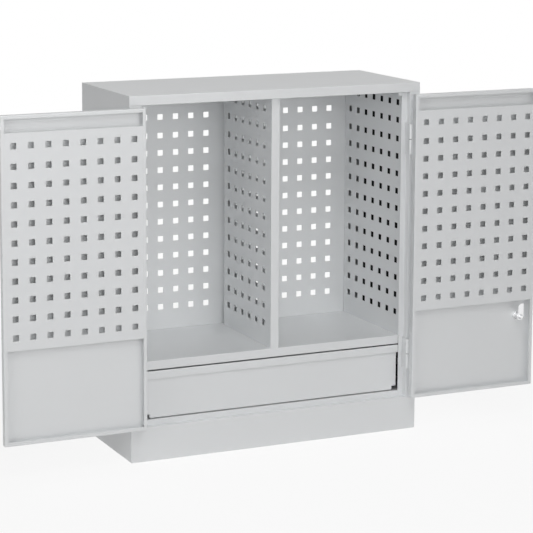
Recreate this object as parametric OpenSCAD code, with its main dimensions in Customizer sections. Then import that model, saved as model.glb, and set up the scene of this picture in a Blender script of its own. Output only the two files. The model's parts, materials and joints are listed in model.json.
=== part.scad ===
// Tool cabinet with two hinged doors, perforated walls, a divider, a shelf and a drawer.
// The cabinet stands on z = 0, its front face looks along -Y, and x = 0 is its middle plane.
// The doors are drawn folded back by 180 degrees, and the drawer is drawn shut.

/* [Cabinet] */
// Outside width across the side panels
cabinet_w = 700; // [600:10:900]
// Outside depth from the front face to the back panel
cabinet_d = 292; // [260:2:400]
// Outside height above the floor
cabinet_h = 800; // [760:10:1000]
// Thickness of the sheet steel
sheet = 1; // [0.8:0.1:1.2]
// Height of the plinth
plinth_h = 76; // [60:1:100]
// Height of the front lip of the top panel
top_lip_h = 21; // [18:1:30]
// Width of the front face of each side panel
stile_w = 25; // [22:1:35]
// Width of the stop flange inside each stile
stop_flange_w = 12.2; // [10:0.2:16]
// Height of the stop flange over the plinth
sill_rise = 12.4; // [10:0.2:16]
// Height of the shelf's top face above the floor
shelf_z = 218; // [200:1:260]
// Height of the shelf's front lip
shelf_lip_h = 20; // [15:0.5:25]
// Outside thickness of the hollow divider
divider_t = 20; // [16:1:30]
// Gap behind the divider
divider_back_gap = 18; // [10:1:30]

/* [Perforation] */
// Side of the square hook holes
hole = 13; // [9:0.5:14]
// Hole spacing sideways
pitch_x = 38; // [36:1:42]
// Hole spacing in height
pitch_z = 40; // [38:1:44]
// Hole spacing in height below the first row that a door has
pitch_first = 42.65; // [40:0.05:46]
// Depth of the first door row below the top of the cabinet
first_row_drop = 87; // [80:1:100]
// Sideways shift of the hole fields on the back panel
back_field_shift = -3.15; // [-6:0.05:6]

/* [Doors] */
// Thickness of a door
door_t = 15; // [14:0.5:18]
// Gap between a shut door and the stile beside it
door_side_gap = 3; // [3:0.1:4]
// Gap between the two shut doors
door_middle_gap = 4; // [3:0.5:6]
// Gap over a shut door
door_top_gap = 2.5; // [2:0.5:5]
// Gap under a shut door
door_bottom_gap = 3.5; // [2:0.5:6]
// Width of the lip round the inside of a door
door_lip_w = 8; // [7:0.5:12]
// Depth of the open recess over the perforated door panel
door_top_recess = 36.5; // [30:0.5:60]
// Height of the perforated door panel's lower edge above the floor
door_panel_z = 282.6; // [260:0.2:340]

/* [Hinges] */
// Length of a hinge
hinge_l = 68; // [60:1:80]
// Outside diameter of a hinge knuckle
knuckle_d = 8; // [7.6:0.1:8.6]
// Diameter of a hinge pin
pin_d = 5; // [4:0.1:5]
// Thickness of a hinge leaf
leaf_t = 2; // [1.6:0.1:2]
// Thickness of the loose washer between two knuckles
washer_t = 1.2; // [0.8:0.1:2]
// Height of the upper hinge's middle below the top of the cabinet
upper_hinge_drop = 126.5; // [110:0.5:160]
// Height of the lower hinge's middle above the floor
lower_hinge_z = 179; // [160:0.5:180]

/* [Lock] */
// Distance of the lock's axis from the free edge of the door
lock_inset = 36.5; // [34:0.5:38]
// Height of the lock above the floor
lock_z = 245; // [236:1:250]
// Diameter of the lock's barrel
barrel_d = 18; // [16:0.5:20]
// Length of the cam from the lock's axis to its tip
cam_l = 31.5; // [31:0.5:38]
// Width of the cam
cam_w = 14; // [10:0.5:16]

/* [Drawer] */
// Height of the grip band along the top of the drawer front
grip_h = 17; // [15:0.5:25]
// Gap between the shelf's lip and the grip band
grip_gap = 2.5; // [2:0.5:4]
// Depth by which the front panel lies behind the grip band
panel_recess = 4.5; // [3:0.5:6]
// Gap between the front panel and the stop flange beside it
panel_side_gap = 2.8; // [2:0.2:5]
// Depth of a cabinet runner's channel, seen from the front
runner_w = 10.5; // [9:0.5:14]
// Gap between the tray and a cabinet runner
runner_gap = 2; // [1.5:0.1:3]
// Gap between the tray and the back panel
tray_back_gap = 25; // [15:1:60]
// Height of the tray's walls
tray_h = 68; // [50:1:80]
// Diameter of a runner roller
roller_d = 19.9; // [16:0.1:20]
// Height of the runner track above the bottom panel
track_rise = 21.6; // [19.6:0.2:27.6]
// Height of a runner bracket
bracket_h = 45; // [40:1:50]

/* [Hidden] */
$fn = 48;
eps = 0.5;                                      // how far a cut runs past the sheet that it cuts
coat = [0.80, 0.81, 0.82];                      // light grey powder coat
zinc = [0.70, 0.71, 0.72];
chrome = [0.88, 0.88, 0.90];
nylon = [0.93, 0.93, 0.90];

half_w = cabinet_w / 2;
front = -cabinet_d / 2;                         // y of the front face
back = cabinet_d / 2;                           // y of the back panel's outer face
wall_in = half_w - sheet;                       // inner face of a side panel's outer wall
top_under = cabinet_h - sheet;                  // underside of the top sheet
lip_z = cabinet_h - top_lip_h;                  // lower edge of the top panel's lip
stile_in = half_w - stile_w;                    // x of a stile's inner face
stop_x = stile_in - stop_flange_w;              // x of a stop flange's free edge
stop_y = front + door_t + 0.5;                  // y of the stop flanges' front face
stop_back = stop_y + sheet;
sill_z = plinth_h + sill_rise;                  // top of the bottom panel
back_in = back - sheet;                         // inner face of the back panel
back_flange_w = 20;                             // of a side panel, in front of the back panel
liner_flange_w = 9;
tab_w = 9.2;                                    // door stop tab in each top corner
tab_h = 9;
tab_lap = 0.4;                                  // how far a tab reaches over the stop flange
tab_relief = 0.5;

// Hole rows: the walls have one row more at the top than the doors
door_row_z = cabinet_h - first_row_drop;
function row_z(i) = i < 0 ? door_row_z - i * pitch_z
  : i == 0 ? door_row_z : door_row_z - pitch_first - (i - 1) * pitch_z;
wall_rows = floor((row_z(1) - shelf_z - 40) / pitch_z) + 3;
door_rows = floor((row_z(1) - door_panel_z - 20) / pitch_z) + 2;

// Divider and inner side walls
inner_y = stop_back + sheet;                    // front plane of the shelf and the divider
divider_back = back_in - divider_back_gap;
liner_depth = back_in - stop_back;
liner_first_col = 18.4;                         // first hole column behind a liner's front edge
liner_cols = floor((liner_depth - liner_first_col - hole / 2 - 16) / pitch_x) + 1;
divider_first_col = 38.5;
divider_cols = floor((divider_back - inner_y - divider_first_col - hole / 2 - 12) / pitch_x) + 1;
bay_w = stop_x - divider_t / 2;
bay_cols = floor((bay_w - hole - 50) / pitch_x) + 1;
back_field_x = stop_x / 2 + 2.45;               // middle of a hole field on the back

// Doors, in the open position
axis_x = stile_in - 2;                          // hinge axis
axis_y = front - knuckle_d / 2 - 3.75;
door_w = stile_in - door_side_gap - door_middle_gap / 2;
door_x0 = 2 * axis_x - (stile_in - door_side_gap);
door_x1 = door_x0 + door_w;
skin_y = 2 * axis_y - front;                    // outer face of the open door
door_in_y = skin_y - door_t;                    // inner face of the open door
door_z0 = plinth_h + door_bottom_gap;
door_z1 = lip_z - door_top_gap;
door_mid_x = (door_x0 + door_x1) / 2;
door_panel_top = door_z1 - door_top_recess;
door_cols = floor((door_w - hole - 40) / pitch_x) + 1;

// Hinges
upper_hinge_z = cabinet_h - upper_hinge_drop;
knuckle_r = knuckle_d / 2;
pin_r = pin_d / 2;
running = 0.05;                                 // radial clearance of a running fit
frame_leaf_depth = 35;                          // from the hinge axis back
door_leaf_depth = 19;
leaf_x = stile_in - axis_x;                     // a frame leaf lies against the stile's return
leaf_slot_w = leaf_t + 0.3;                     // slot in the stop flange that the leaf passes through
leaf_slot_h = hinge_l + 2;
washer_r = knuckle_r - 0.7;                     // the washer lies back between the knuckles

// Lock
lock_x = door_x1 - lock_inset;
head_t = 2.5;                                   // head over the door's outer face
barrel_l = 19.5;                                // from the door's outer face to the cam
flat_w = barrel_d - 2;                          // across the barrel's two flats
lock_nut_t = 6;
cam_t = 2;
cam_cut = 5.5;                                  // of the corner that is cut off the cam's tip
cam_nut_t = 4;
plug_r = 6;
plug_stub_r = 3.5;
cam_y = skin_y - barrel_l;
shut_lock_x = 2 * axis_x - lock_x;              // the lock's axis when the door is shut
cam_corner = norm([cam_l, cam_w / 2]);           // from the lock's axis to the tip's other corner
cam_reach = sqrt(pow(cam_corner, 2) - pow(shut_lock_x - divider_t / 2, 2));
cam_slot_low = cam_w / 2 + 2;                   // the slot below the axis
cam_slot_high = cam_reach + 1.5;                // and above it, where the turning cam comes in

// Drawer
grip_top = shelf_z - shelf_lip_h - grip_gap;
grip_z = grip_top - grip_h;
panel_y = stop_y + panel_recess;
panel_z = sill_z + 2.3;
panel_half = stop_x - panel_side_gap;
bracket_x = stop_x - 0.3;                       // inner face of a runner bracket
tray_half = bracket_x - runner_w - runner_gap;
tray_y = panel_y + sheet;
tray_back = back_in - tray_back_gap;
tray_z = panel_z + 1.3;
runner_t = 1.2;
bracket_t = 1.5;
track_z = sill_z + track_rise;
bracket_drop = 10;                              // from the track down to a bracket's lower edge
bracket_y = stop_y + 26.5;
bracket_back_gap = 2;
track_h = 24;                                   // inside height of a cabinet runner
track_y = tray_y + 8;                           // front end of the runners
track_end = tray_back + 4;
roller_r = roller_d / 2;
roller_w = 6.5;
roller_z = track_z + roller_r + running;        // axis of all rollers
front_roller_y = track_y + roller_r + 2;
rear_roller_y = tray_back - roller_r - 0.05;
drawer_rail_z = roller_z + roller_r + running;  // underside of a drawer runner's rail
rail_gap = 2.2;                                 // from the rail's edge to the bracket
axle_r = 2.5;
head_r = 4;
axle_head_t = 0.9;

// A block given by two opposite corners
module block(a, b) {
  translate(a) cube(b - a);
}

// The same shape on both sides of the middle plane
module both_sides() {
  children();
  mirror([1, 0, 0]) children();
}

// A flat outline drawn in x and z, as a plate from y to y + t
module plate_xz(y, t) {
  translate([0, y + t, 0]) rotate([90, 0, 0]) linear_extrude(t) children();
}

// A flat outline drawn in y and z, as a plate from x to x + t
module plate_yz(x, t) {
  translate([x, 0, 0]) rotate([90, 0, 90]) linear_extrude(t) children();
}

// Square holes in rows first..last, in columns that start at a0
module holes(a0, cols, first, last) {
  for (row = [first : last], col = [0 : cols - 1])
    translate([a0 + col * pitch_x, row_z(row)]) square(hole, center = true);
}

// A bar with its axis along X
module bar_x(r, x0, x1) {
  translate([x0, 0, 0]) rotate([0, 90, 0]) cylinder(r = r, h = x1 - x0);
}

// A bar with its axis along Y, from y0 down to y1
module bar_y(r, y0, y1) {
  translate([0, y0, 0]) rotate([90, 0, 0]) cylinder(r = r, h = y0 - y1);
}

// ---- Cabinet ----

// The right side panel is one folded sheet: outer wall, stile, return, stop flange, back flange
module side_panel() {
  difference() {
    translate([0, 0, plinth_h]) linear_extrude(top_under - plinth_h) union() {
      translate([wall_in, front]) square([sheet, cabinet_d]);
      translate([stile_in, front]) square([stile_w, sheet]);
      translate([stile_in, front]) square([sheet, door_t + 0.5 + sheet]);
      translate([stop_x, stop_y]) square([stop_flange_w + sheet, sheet]);
      translate([half_w - back_flange_w, back_in - sheet]) square([back_flange_w, sheet]);
    }
    // the top panel's lip and its return
    block([stop_x - eps, front - eps, lip_z], [half_w + eps, front + sheet, cabinet_h]);
    block([stop_x - eps, front, lip_z], [wall_in, stop_back + eps, cabinet_h]);
    // relief beside the door stop
    block([stop_x - eps, stop_y - eps, lip_z - tab_h - tab_relief],
          [stop_x + tab_lap + 3.3, stop_back + eps, cabinet_h]);
    // slots that the frame leaves of the hinges pass through
    for (z = [upper_hinge_z, lower_hinge_z])
      block([stile_in - leaf_slot_w, stop_y - eps, z - leaf_slot_h / 2],
            [stile_in, stop_back + eps, z + leaf_slot_h / 2]);
  }
}

module left_side_panel() {
  color(coat) mirror([1, 0, 0]) side_panel();
}

module right_side_panel() {
  color(coat) side_panel();
}

module top_panel() {
  inner_lip_h = 10;
  color(coat) union() {
    block([-half_w, front, top_under], [half_w, back, cabinet_h]);
    block([-half_w, front, lip_z], [half_w, front + sheet, cabinet_h]);
    block([-wall_in, front, lip_z], [wall_in, stop_back, lip_z + sheet]);
    block([-wall_in, stop_y, lip_z], [wall_in, stop_back, lip_z + inner_lip_h]);
  }
}

// A tab in each top corner of the door opening, which hangs from the top panel's lip
module door_stops() {
  color(coat) both_sides() block([stop_x + tab_lap - tab_w, stop_y, lip_z - tab_h],
                                 [stop_x + tab_lap, stop_back, lip_z]);
}

module back_panel() {
  color(coat) plate_xz(back_in, sheet) difference() {
    translate([-wall_in, plinth_h]) square([2 * wall_in, top_under - plinth_h]);
    for (side = [-1, 1])
      holes(back_field_shift + side * back_field_x - (bay_cols - 1) * pitch_x / 2, bay_cols,
            -1, wall_rows - 2);
  }
}

plinth_foot_w = 20;                             // width of the plinth's foot flange
plinth_top_w = 36;                              // width of its top flange

module plinth() {
  color(coat) difference() {
    block([-half_w, front, 0], [half_w, back, plinth_h]);
    block([-wall_in, front + sheet, sheet], [wall_in, back_in, plinth_h - sheet]);
    block([plinth_top_w - half_w, front + plinth_top_w, sheet],
          [half_w - plinth_top_w, back - plinth_top_w, plinth_h + eps]);
    block([plinth_foot_w - half_w, front + plinth_foot_w, -eps],
          [half_w - plinth_foot_w, back - plinth_foot_w, sheet + eps]);
  }
}

module plinth_brace() {
  brace_w = 40;
  brace_h = 30;
  end = cabinet_d / 2 - plinth_foot_w;
  color(zinc) difference() {
    block([-brace_w / 2, -end, 0], [brace_w / 2, end, brace_h]);
    block([-brace_w / 2 + sheet, -end - eps, sheet], [brace_w / 2 - sheet, end + eps, brace_h + eps]);
  }
}

module bottom_panel() {
  rear = back_in - sheet;
  riser_half = stop_x - 0.2;
  color(coat) union() {
    block([-wall_in, stop_back, sill_z - sheet], [wall_in, rear, sill_z]);
    block([-riser_half, stop_y, sill_z - sheet], [riser_half, stop_back + eps, sill_z]);
    block([-riser_half, stop_y, plinth_h], [riser_half, stop_back, sill_z]);
    block([-wall_in, rear - sheet, plinth_h], [wall_in, rear, sill_z]);
    both_sides() block([wall_in - sheet, stop_back, plinth_h], [wall_in, rear, sill_z]);
  }
}

module shelf() {
  rear = back_in - sheet;
  corner_y = inner_y + 12.5;                    // the front corners clear the hinge leaves
  lip_half = stop_x + 0.2;
  skirt = 15;
  color(coat) union() {
    block([-wall_in, corner_y, shelf_z - sheet], [wall_in, rear, shelf_z]);
    block([-lip_half, inner_y, shelf_z - sheet], [lip_half, corner_y + eps, shelf_z]);
    block([-lip_half, inner_y, shelf_z - shelf_lip_h], [lip_half, inner_y + sheet, shelf_z]);
    block([-lip_half, inner_y, shelf_z - shelf_lip_h],
          [lip_half, inner_y + 10, shelf_z - shelf_lip_h + sheet]);
    block([-wall_in, rear - sheet, shelf_z - skirt], [wall_in, rear, shelf_z]);
    both_sides() block([wall_in - sheet, corner_y, shelf_z - skirt], [wall_in, rear, shelf_z]);
  }
}

// The right liner is the perforated inner wall, with a flange at its front and its back edge
module liner() {
  union() {
    plate_yz(stop_x, sheet) difference() {
      translate([stop_back, shelf_z]) square([liner_depth, top_under - shelf_z]);
      holes(stop_back + liner_first_col, liner_cols, -1, wall_rows - 2);
    }
    block([stop_x, stop_back, shelf_z], [stop_x + liner_flange_w, stop_back + sheet, top_under]);
    block([stop_x, back_in - sheet, shelf_z], [stop_x + liner_flange_w, back_in, top_under]);
  }
}

module left_liner() {
  color(coat) mirror([1, 0, 0]) liner();
}

module right_liner() {
  color(coat) liner();
}

// One side wall of the divider, from front_y back
module divider_wall(x, front_y) {
  plate_yz(x, sheet) difference() {
    translate([front_y, shelf_z]) square([divider_back - front_y, top_under - shelf_z]);
    holes(inner_y + divider_first_col, divider_cols, -1, wall_rows - 2);
  }
}

module divider_left_skin() {
  x0 = -divider_t / 2;
  color(coat) union() {
    divider_wall(x0, inner_y + sheet);
    block([x0, divider_back - sheet, shelf_z], [-x0 - sheet, divider_back, top_under]);
  }
}

// The right skin carries the divider's front face and the slot that the lock's cam enters
module divider_right_skin() {
  x1 = divider_t / 2;
  color(coat) difference() {
    union() {
      divider_wall(x1 - sheet, inner_y);
      block([-x1, inner_y, shelf_z], [x1, inner_y + sheet, top_under]);
    }
    block([x1 - sheet - eps, inner_y + sheet, lock_z - cam_slot_low],
          [x1 + eps, inner_y + sheet + 6, lock_z + cam_slot_high]);
  }
}

// ---- Drawer runners, drawn on the right ----

module runner_bracket() {
  low = track_z - bracket_drop;
  difference() {
    block([bracket_x, bracket_y, low], [wall_in, back_in - bracket_back_gap, low + bracket_h]);
    block([bracket_x + bracket_t, bracket_y - eps, low + bracket_t],
          [wall_in + eps, back_in, low + bracket_h - bracket_t]);
  }
}

module left_runner_bracket() {
  color(zinc) mirror([1, 0, 0]) runner_bracket();
}

module right_runner_bracket() {
  color(zinc) runner_bracket();
}

module cabinet_runner() {
  difference() {
    block([bracket_x - runner_w, track_y, track_z - runner_t],
          [bracket_x, track_end, track_z + track_h + runner_t]);
    block([bracket_x - runner_w - eps, track_y - eps, track_z],
          [bracket_x - runner_t, track_end + eps, track_z + track_h]);
    translate([0, front_roller_y, roller_z])
      bar_x(axle_r, bracket_x - runner_t - eps, bracket_x + eps);
  }
}

module left_cabinet_runner() {
  color(zinc) mirror([1, 0, 0]) cabinet_runner();
}

module right_cabinet_runner() {
  color(zinc) cabinet_runner();
}

module roller(x0, y) {
  translate([0, y, roller_z]) difference() {
    bar_x(roller_r, x0, x0 + roller_w);
    bar_x(axle_r + running, x0 - eps, x0 + roller_w + eps);
  }
}

front_roller_x = bracket_x - runner_t - 0.5 - roller_w;
rear_roller_x = tray_half + runner_t + 0.7;

module left_front_roller() {
  color(nylon) mirror([1, 0, 0]) roller(front_roller_x, front_roller_y);
}

module right_front_roller() {
  color(nylon) roller(front_roller_x, front_roller_y);
}

module front_roller_axles() {
  head_x = front_roller_x - 0.1;
  color(zinc) both_sides() translate([0, front_roller_y, roller_z]) {
    bar_x(axle_r, head_x - axle_head_t, bracket_x);
    bar_x(head_r, head_x - axle_head_t, head_x);
  }
}

module drawer_runner() {
  low = roller_z - roller_r - 6;
  high = drawer_rail_z + runner_t;
  difference() {
    union() {
      block([tray_half, track_y, low], [tray_half + runner_t, tray_back, high]);
      block([tray_half, track_y, drawer_rail_z], [bracket_x - rail_gap, tray_back, high]);
    }
    translate([0, rear_roller_y, roller_z])
      bar_x(axle_r, tray_half - eps, tray_half + runner_t + eps);
  }
}

module left_drawer_runner() {
  color(zinc) mirror([1, 0, 0]) drawer_runner();
}

module right_drawer_runner() {
  color(zinc) drawer_runner();
}

module left_rear_roller() {
  color(nylon) mirror([1, 0, 0]) roller(rear_roller_x, rear_roller_y);
}

module right_rear_roller() {
  color(nylon) roller(rear_roller_x, rear_roller_y);
}

module rear_roller_axles() {
  head_x = rear_roller_x + roller_w + 0.1;
  color(zinc) both_sides() translate([0, rear_roller_y, roller_z]) {
    bar_x(axle_r, tray_half, head_x + axle_head_t);
    bar_x(head_r, head_x, head_x + axle_head_t);
  }
}

// ---- Drawer ----

module drawer_bottom() {
  color(coat) block([sheet - tray_half, tray_y, tray_z], [tray_half - sheet, tray_back, tray_z + sheet]);
}

// A wall across the tray, which stands on the bottom between the side walls
module cross_wall(y) {
  block([sheet - tray_half, y, tray_z + sheet], [tray_half - sheet, y + sheet, tray_z + tray_h]);
}

module drawer_inner_front() {
  color(coat) cross_wall(tray_y);
}

module drawer_back_wall() {
  color(coat) cross_wall(tray_back - sheet);
}

module side_wall() {
  block([tray_half - sheet, tray_y, tray_z], [tray_half, tray_back, tray_z + tray_h]);
}

module drawer_left_wall() {
  color(coat) mirror([1, 0, 0]) side_wall();
}

module drawer_right_wall() {
  color(coat) side_wall();
}

// The front is one folded sheet: panel, side hems and the hollow grip band along its top
module drawer_front() {
  notch_w = 11.5;
  notch_h = 8.3;
  hem_w = 8;
  grip_half = stop_x - 0.8;
  color(coat) difference() {
    union() {
      block([-panel_half, panel_y, panel_z], [panel_half, tray_y, grip_top]);
      block([-grip_half, stop_y, grip_top - sheet], [grip_half, tray_y, grip_top]);
      block([-grip_half, stop_y, grip_z], [grip_half, stop_y + sheet, grip_top]);
      both_sides() block([panel_half - hem_w, panel_y, panel_z],
                         [panel_half, panel_y + 2 * sheet, grip_top]);
    }
    both_sides() block([panel_half - notch_w, panel_y - eps, panel_z - eps],
                       [panel_half + eps, panel_y + 2 * sheet + eps, panel_z + notch_h]);
  }
}

// ---- Hinges, drawn on the right around the hinge axis ----

// A knuckle with its leaf; up = 1 puts the knuckle over the washer, and bore_h is the bore's depth
module frame_leaf(z) {
  low = z - hinge_l / 2;
  translate([axis_x, axis_y, 0]) difference() {
    union() {
      translate([0, 0, low]) cylinder(r = knuckle_r, h = hinge_l / 2 - washer_t / 2);
      block([leaf_x - leaf_t, 0, low], [leaf_x, frame_leaf_depth, z - washer_t / 2]);
      block([leaf_x - leaf_t, knuckle_r + 0.5, low], [leaf_x, frame_leaf_depth, z + hinge_l / 2]);
    }
    translate([0, 0, low - eps]) cylinder(r = pin_r, h = hinge_l / 2 + 2 * eps);
  }
}

module door_leaf(z) {
  high = z + hinge_l / 2;
  low = z - hinge_l / 2;
  inner = 2;                                    // the leaf lies inside the door's side wall
  translate([axis_x, axis_y, 0]) difference() {
    union() {
      translate([0, 0, z + washer_t / 2]) cylinder(r = knuckle_r, h = hinge_l / 2 - washer_t / 2);
      block([inner, -door_leaf_depth, z + washer_t / 2], [inner + leaf_t, 0, high]);
      block([inner, -door_leaf_depth, low], [inner + leaf_t, -knuckle_r - 0.5, high]);
    }
    translate([0, 0, z]) cylinder(r = pin_r + running, h = hinge_l / 2 - 3);
  }
}

module hinge_pins() {
  for (z = [upper_hinge_z, lower_hinge_z])
    translate([axis_x, axis_y, z - hinge_l / 2]) cylinder(r = pin_r, h = hinge_l - 5);
}

module hinge_washers() {
  for (z = [upper_hinge_z, lower_hinge_z])
    translate([axis_x, axis_y, z - washer_t / 2]) difference() {
      cylinder(r = washer_r, h = washer_t);
      translate([0, 0, -eps]) cylinder(r = pin_r + 0.1, h = washer_t + 2 * eps);
    }
}

module left_upper_frame_leaf() {
  color(coat) mirror([1, 0, 0]) frame_leaf(upper_hinge_z);
}

module left_lower_frame_leaf() {
  color(coat) mirror([1, 0, 0]) frame_leaf(lower_hinge_z);
}

module right_upper_frame_leaf() {
  color(coat) frame_leaf(upper_hinge_z);
}

module right_lower_frame_leaf() {
  color(coat) frame_leaf(lower_hinge_z);
}

module left_upper_door_leaf() {
  color(coat) mirror([1, 0, 0]) door_leaf(upper_hinge_z);
}

module left_lower_door_leaf() {
  color(coat) mirror([1, 0, 0]) door_leaf(lower_hinge_z);
}

module right_upper_door_leaf() {
  color(coat) door_leaf(upper_hinge_z);
}

module right_lower_door_leaf() {
  color(coat) door_leaf(lower_hinge_z);
}

module left_hinge_pins() {
  color(zinc) mirror([1, 0, 0]) hinge_pins();
}

module right_hinge_pins() {
  color(zinc) hinge_pins();
}

module left_hinge_washers() {
  color(zinc) mirror([1, 0, 0]) hinge_washers();
}

module right_hinge_washers() {
  color(zinc) hinge_washers();
}

// ---- Doors, drawn on the right ----

module door_shell() {
  lip_in = [door_x0 + door_lip_w, door_z0 + door_lip_w];
  lip_out = [door_x1 - door_lip_w, door_z1 - door_lip_w];
  difference() {
    block([door_x0, door_in_y, door_z0], [door_x1, skin_y, door_z1]);
    block([door_x0 + sheet, door_in_y + sheet, door_z0 + sheet],
          [door_x1 - sheet, skin_y - sheet, door_z1 - sheet]);
    block([lip_in[0], door_in_y - eps, lip_in[1]], [lip_out[0], skin_y - sheet, lip_out[1]]);
    // slots for the hinge leaves
    for (z = [upper_hinge_z, lower_hinge_z])
      block([axis_x + 2, skin_y - sheet - eps, z - hinge_l / 2 - 0.5],
            [axis_x + 2 + leaf_t + 0.1, skin_y + eps, z + hinge_l / 2 + 0.5]);
  }
}

module left_door_shell() {
  color(coat) mirror([1, 0, 0]) door_shell();
}

module right_door_shell() {
  color(coat) difference() {
    door_shell();
    translate([lock_x, 0, lock_z]) barrel(skin_y + 1, skin_y - sheet - 1);
  }
}

// The perforated panel lies flush between the door's lips, and its joggled sides pass behind them
module door_panel() {
  tab = 5;
  bend = 2;
  x0 = door_x0 + door_lip_w;
  x1 = door_x1 - door_lip_w;
  union() {
    plate_xz(door_in_y, sheet) difference() {
      translate([x0, door_panel_z]) square([x1 - x0, door_panel_top - door_panel_z]);
      holes(door_mid_x - (door_cols - 1) * pitch_x / 2, door_cols, 0, door_rows - 1);
    }
    for (tab_x = [x0 - tab, x1 - bend], bend_x = [x0, x1 - bend]) {
      block([tab_x, door_in_y + sheet, door_panel_z],
            [tab_x + tab + bend, door_in_y + 2 * sheet, door_panel_top]);
      block([bend_x, door_in_y, door_panel_z], [bend_x + bend, door_in_y + 2 * sheet, door_panel_top]);
    }
  }
}

module left_door_panel() {
  color(coat) mirror([1, 0, 0]) door_panel();
}

module right_door_panel() {
  color(coat) door_panel();
}

// ---- Lock ----

// The barrel's outline, round with two flats
module barrel(y0, y1) {
  intersection() {
    bar_y(barrel_d / 2, y0, y1);
    block([-barrel_d, y1 - 1, -flat_w / 2], [barrel_d, y0 + 1, flat_w / 2]);
  }
}

module lock_housing() {
  color(chrome) translate([lock_x, 0, lock_z]) difference() {
    union() {
      bar_y(barrel_d / 2 + 2.5, skin_y + head_t, skin_y);
      barrel(skin_y, cam_y + 0.1);
    }
    bar_y(plug_r + running, skin_y + head_t + 1, cam_y - 1);
  }
}

module lock_nut() {
  across = barrel_d + 5;
  y0 = skin_y - sheet;
  color(chrome) translate([lock_x, 0, lock_z]) difference() {
    translate([0, y0, 0]) rotate([90, 0, 0]) cylinder(d = across, h = lock_nut_t, $fn = 6);
    barrel(y0 + 1, y0 - lock_nut_t - 1);
  }
}

module lock_plug() {
  key_w = 1.6;
  key_h = 7;
  key_depth = 10;
  y0 = skin_y + head_t;
  color(chrome) translate([lock_x, 0, lock_z]) difference() {
    union() {
      bar_y(plug_r, y0, cam_y);
      bar_y(plug_stub_r, cam_y, cam_y - cam_t - cam_nut_t);
    }
    block([-key_w / 2, y0 - key_depth, -key_h / 2], [key_w / 2, y0 + 1, key_h / 2]);
  }
}

// The cam hangs on the plug's stub and points up while the lock is open. A corner of its tip is cut
module lock_cam() {
  color(chrome) translate([lock_x, cam_y, lock_z]) rotate([90, 0, 0]) linear_extrude(cam_t)
    difference() {
      union() {
        circle(d = cam_w);
        polygon([[-cam_w / 2, 0], [cam_w / 2, 0], [cam_w / 2, cam_l],
                 [cam_cut - cam_w / 2, cam_l], [-cam_w / 2, cam_l - cam_cut]]);
      }
      circle(r = plug_stub_r);
    }
}

module cam_nut() {
  color(zinc) translate([lock_x, cam_y - cam_t, lock_z]) rotate([90, 0, 0]) difference() {
    cylinder(d = 12, h = cam_nut_t - 0.5, $fn = 6);
    translate([0, 0, -1]) cylinder(r = plug_stub_r, h = cam_nut_t + 2);
  }
}

left_side_panel();
right_side_panel();
top_panel();
back_panel();
plinth();
plinth_brace();
bottom_panel();
shelf();
door_stops();
left_liner();
right_liner();
divider_left_skin();
divider_right_skin();
left_runner_bracket();
right_runner_bracket();
left_cabinet_runner();
right_cabinet_runner();
left_front_roller();
right_front_roller();
front_roller_axles();
left_upper_frame_leaf();
left_lower_frame_leaf();
right_upper_frame_leaf();
right_lower_frame_leaf();
left_upper_door_leaf();
left_lower_door_leaf();
right_upper_door_leaf();
right_lower_door_leaf();
left_hinge_pins();
right_hinge_pins();
left_hinge_washers();
right_hinge_washers();
left_door_shell();
right_door_shell();
left_door_panel();
right_door_panel();
lock_housing();
lock_nut();
lock_plug();
lock_cam();
cam_nut();
drawer_front();
drawer_inner_front();
drawer_bottom();
drawer_back_wall();
drawer_left_wall();
drawer_right_wall();
left_drawer_runner();
right_drawer_runner();
left_rear_roller();
right_rear_roller();
rear_roller_axles();
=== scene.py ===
import json
from math import cos, hypot, pi, radians, sin

import bmesh
import bpy
from bpy.props import FloatProperty, FloatVectorProperty, IntProperty, PointerProperty
from mathutils import Matrix, Vector

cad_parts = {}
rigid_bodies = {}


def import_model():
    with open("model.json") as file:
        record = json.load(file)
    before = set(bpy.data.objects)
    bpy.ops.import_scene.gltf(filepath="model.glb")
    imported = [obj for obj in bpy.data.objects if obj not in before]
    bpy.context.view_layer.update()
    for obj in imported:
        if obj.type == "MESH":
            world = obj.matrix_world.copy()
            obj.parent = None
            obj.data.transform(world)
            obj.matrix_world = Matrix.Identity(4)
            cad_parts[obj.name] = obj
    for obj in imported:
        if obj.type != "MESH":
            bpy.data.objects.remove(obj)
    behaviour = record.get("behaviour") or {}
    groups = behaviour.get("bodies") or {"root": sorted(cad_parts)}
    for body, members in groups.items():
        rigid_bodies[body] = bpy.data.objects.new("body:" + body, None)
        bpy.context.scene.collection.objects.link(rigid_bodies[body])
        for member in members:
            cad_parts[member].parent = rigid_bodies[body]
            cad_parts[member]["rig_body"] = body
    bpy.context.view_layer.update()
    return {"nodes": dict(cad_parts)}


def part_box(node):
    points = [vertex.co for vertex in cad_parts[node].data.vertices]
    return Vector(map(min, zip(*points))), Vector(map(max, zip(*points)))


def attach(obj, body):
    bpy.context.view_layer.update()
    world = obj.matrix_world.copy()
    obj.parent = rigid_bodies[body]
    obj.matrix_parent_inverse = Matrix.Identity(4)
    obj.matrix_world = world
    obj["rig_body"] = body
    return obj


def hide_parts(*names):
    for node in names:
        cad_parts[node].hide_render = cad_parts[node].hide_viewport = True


bl_info = {
    "name": "Tool cabinet with two doors",
    "version": (1, 0, 0),
    "blender": (4, 5, 0),
    "location": "3D View > Sidebar > Tool cabinet",
    "description": "Dresses the folded sheet steel of a tool cabinet and sets its studio",
    "category": "Object",
}

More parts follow.
